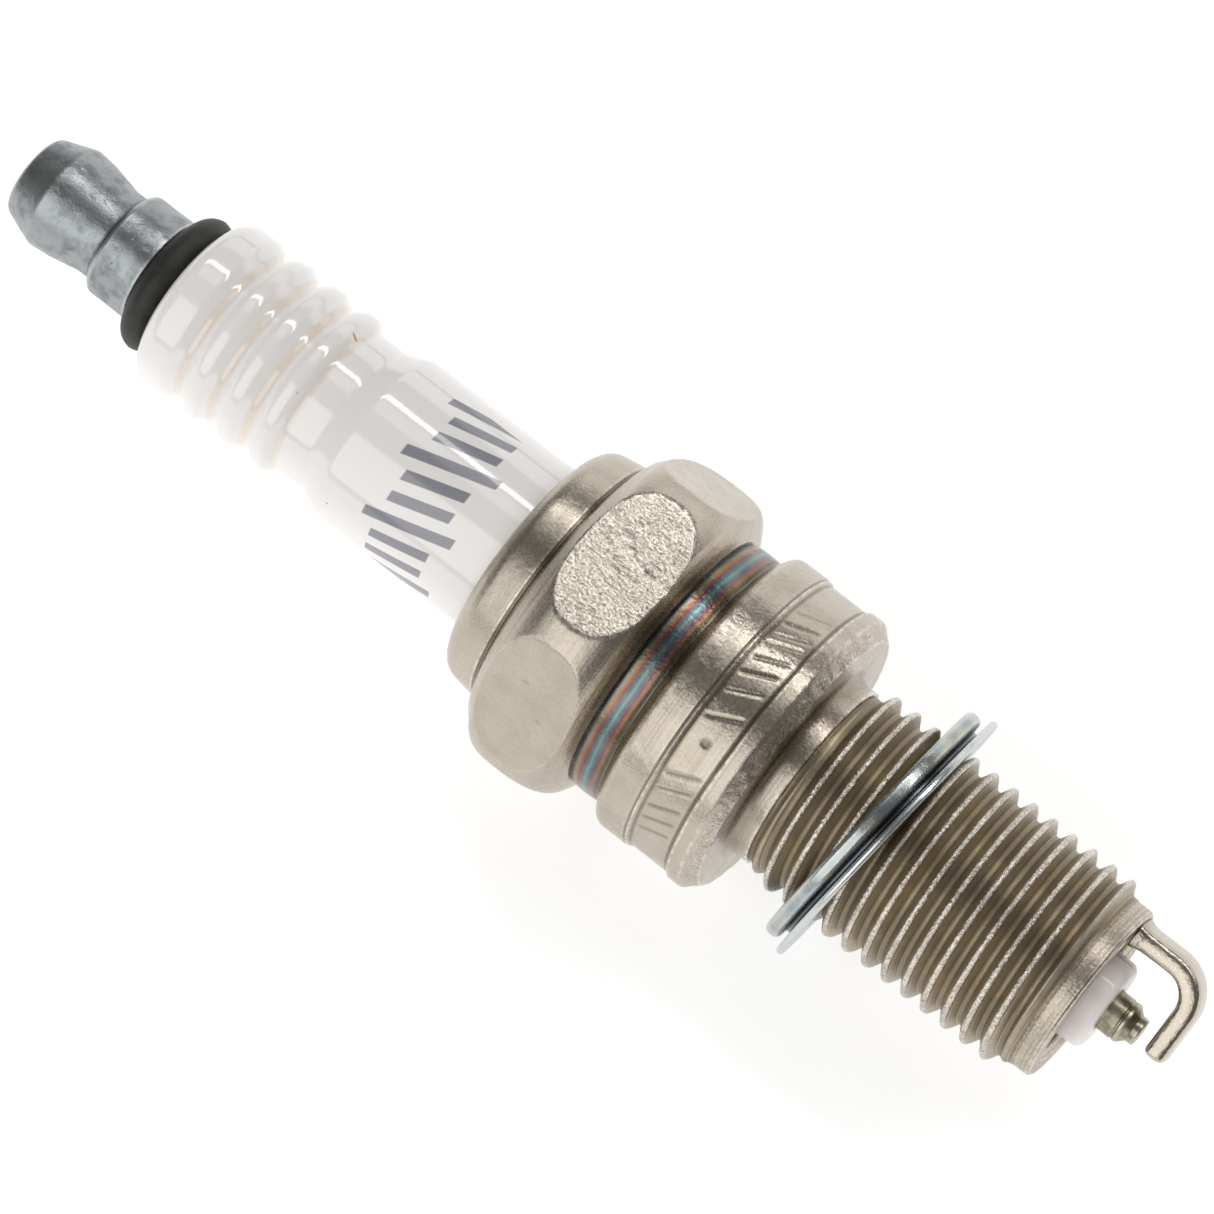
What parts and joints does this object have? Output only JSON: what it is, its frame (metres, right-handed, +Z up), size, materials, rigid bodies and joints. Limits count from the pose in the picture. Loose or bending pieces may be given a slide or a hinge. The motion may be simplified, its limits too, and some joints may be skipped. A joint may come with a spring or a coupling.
{
  "type": "spark plug",
  "caption": "Spark plug with a threaded hex shell, ribbed white insulator, screwed-on terminal nut, loose folded crush gasket and a bent ground strap over a stepped tip.",
  "frame": {"origin": "on the plug's axis, in the plane where the shell's seat meets its gasket", "axes": "+X along the plug's axis towards the firing end, so the terminal points to -X; +Z up, away from the hex flat that the plug lies on; +Y across"},
  "size_m": [0.0744, 0.0194, 0.0174],
  "materials": {
    "zinc_terminal": "dull zinc-plated steel",
    "black_rubber": "matt black rubber",
    "stud_steel": "plain turned steel",
    "glazed_alumina": "glossy white glaze",
    "seal_glass": "fused conductive glass",
    "resistor_body": "carbon-glass body",
    "nickel_alloy": "darkened nickel alloy",
    "copper_core": "copper",
    "nickel_shell": "satin nickel plate with turning marks",
    "talc": "pressed powder",
    "zinc_gasket": "bright zinc plate",
    "nickel_strap": "satin nickel alloy"
  },
  "bodies": {
    "plug": {"terminal_o_ring": "black_rubber", "terminal_stud": "stud_steel", "insulator": "glazed_alumina", "upper_glass_seal": "seal_glass", "resistor": "resistor_body", "lower_glass_seal": "seal_glass", "centre_electrode": "nickel_alloy", "centre_electrode_core": "copper_core", "shell": "nickel_shell", "upper_packing_ring": "stud_steel", "talc_packing": "talc", "lower_packing_ring": "stud_steel", "inner_seat_gasket": "stud_steel", "ground_electrode": "nickel_strap"},
    "terminal": {"terminal_nut": "zinc_terminal"},
    "gasket": {"crush_gasket": "zinc_gasket"}
  },
  "joints": [
    {"name": "terminal_unscrew", "type": "slide", "parent": "plug", "child": "terminal", "axis": [-1, 0, 0], "range_m": [0, 0.009]},
    {"name": "gasket_slide", "type": "slide", "parent": "plug", "child": "gasket", "axis": [1, 0, 0], "range_m": [-0.003, 0.0215]}
  ]
}
